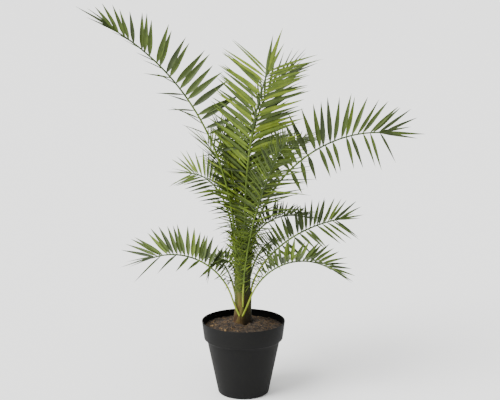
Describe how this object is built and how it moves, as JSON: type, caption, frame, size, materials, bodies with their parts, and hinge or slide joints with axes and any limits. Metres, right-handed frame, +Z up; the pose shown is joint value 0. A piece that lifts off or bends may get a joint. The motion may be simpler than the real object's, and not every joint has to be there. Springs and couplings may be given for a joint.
{
  "type": "potted date palm",
  "caption": "Young date palm with arching feather fronds, standing in a round tapered plastic pot filled with soil.",
  "frame": {"origin": "centre of the pot's flat underside, where it stands on the ground", "axes": "+Z up the trunk, +X to the right and -Y to the front, as seen by someone facing the plant"},
  "size_m": [0.9588, 0.5367, 1.1254],
  "materials": {
    "black_plastic": "satin near-black moulded plastic",
    "potting_soil": "rough dark brown compost with bark fibres",
    "leaf_base_trunk": "olive to brown fibrous leaf bases",
    "green_stalk": "smooth yellow-green stalk",
    "green_leaflets": "satin mid-green leaf"
  },
  "bodies": {
    "root": {"pot": "black_plastic", "soil": "potting_soil", "trunk": "leaf_base_trunk", "front_right_blade": "green_leaflets", "front_right_stalk": "green_stalk", "high_left_blade": "green_leaflets", "high_left_stalk": "green_stalk", "high_right_blade": "green_leaflets", "high_right_stalk": "green_stalk", "low_left_blade": "green_leaflets", "low_left_rear_blade": "green_leaflets", "low_left_rear_stalk": "green_stalk", "low_left_stalk": "green_stalk", "low_rear_left_blade": "green_leaflets", "low_rear_left_stalk": "green_stalk", "low_rear_right_blade": "green_leaflets", "low_rear_right_stalk": "green_stalk", "low_right_blade": "green_leaflets", "low_right_stalk": "green_stalk", "mid_left_blade": "green_leaflets", "mid_left_stalk": "green_stalk", "mid_rear_blade": "green_leaflets", "mid_rear_stalk": "green_stalk", "mid_right_blade": "green_leaflets", "mid_right_rear_blade": "green_leaflets", "mid_right_rear_stalk": "green_stalk", "mid_right_stalk": "green_stalk", "rear_left_blade": "green_leaflets", "rear_left_stalk": "green_stalk", "rear_right_blade": "green_leaflets", "rear_right_stalk": "green_stalk", "tall_back_blade": "green_leaflets", "tall_back_stalk": "green_stalk", "tall_front_blade": "green_leaflets", "tall_front_stalk": "green_stalk", "tall_left_blade": "green_leaflets", "tall_left_stalk": "green_stalk", "tall_rear_blade": "green_leaflets", "tall_rear_stalk": "green_stalk"}
  },
  "joints": []
}
